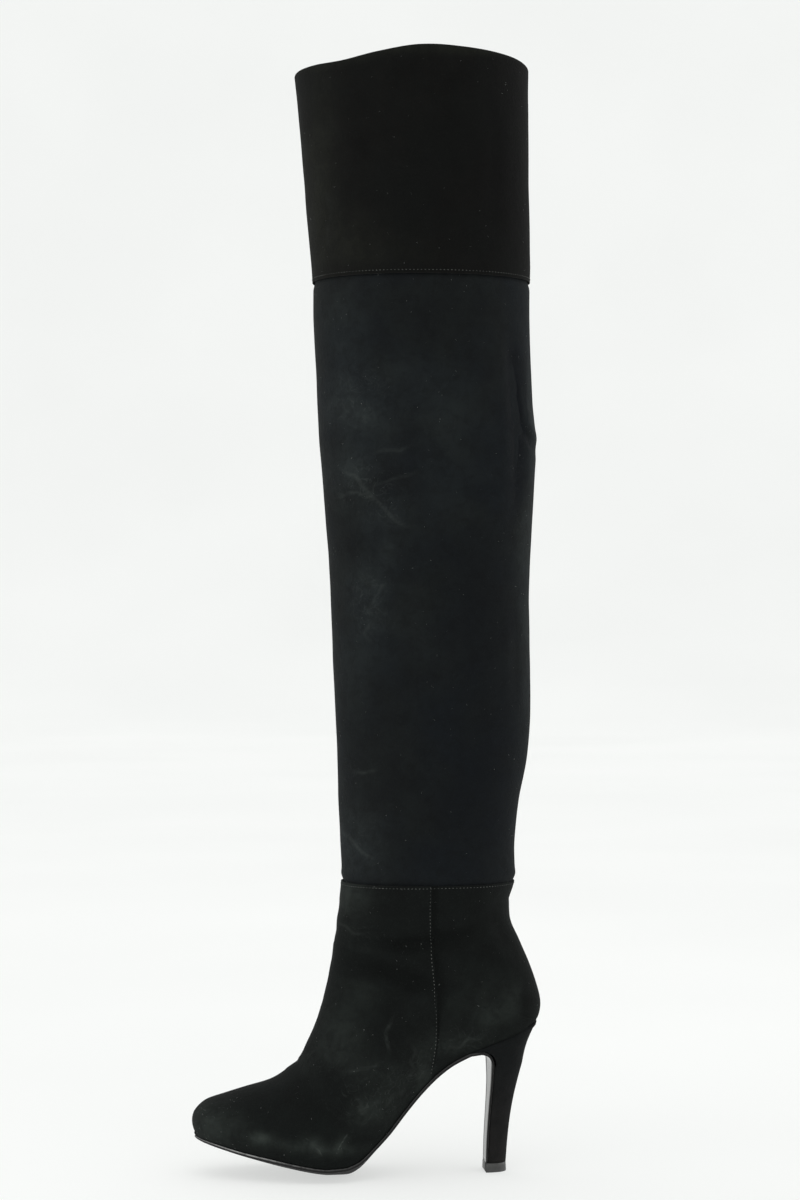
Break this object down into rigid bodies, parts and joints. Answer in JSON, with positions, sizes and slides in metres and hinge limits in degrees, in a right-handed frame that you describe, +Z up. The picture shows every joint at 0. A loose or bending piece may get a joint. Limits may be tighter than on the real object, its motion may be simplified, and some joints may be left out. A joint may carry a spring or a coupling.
{
  "type": "thigh high boot",
  "caption": "Slender heeled thigh high boot in soft suede, with an almond toe, a plain foot, a long close leg panel, a wider thigh cuff and a thin sole that runs down the heel's breast.",
  "frame": {"origin": "on the floor, under the middle of the boot's overall length and width", "axes": "+Z up the leg, -Y towards the toe, +X towards the boot's outer side"},
  "size_m": [0.1464, 0.2263, 0.7207],
  "materials": {
    "sole_leather": "thin black sole leather, smooth and half glossy on its edge and on the heel's breast",
    "insole_lining": "smooth black lining leather over the insole",
    "heel_cover_suede": "black suede drawn tightly over the heel block",
    "top_piece_rubber": "dark grey hard rubber, slightly scuffed",
    "upper_suede": "black suede with a short nap, lined with thin black leather",
    "leg_suede": "soft black suede with rubbed patches behind and before the knee",
    "cuff_suede": "soft black suede with a turned edge at the collar"
  },
  "bodies": {
    "root": {"outsole": "sole_leather", "insole": "insole_lining", "heel": "heel_cover_suede", "top_piece": "top_piece_rubber", "upper": "upper_suede", "leg_panel": "leg_suede", "cuff": "cuff_suede"}
  },
  "joints": []
}
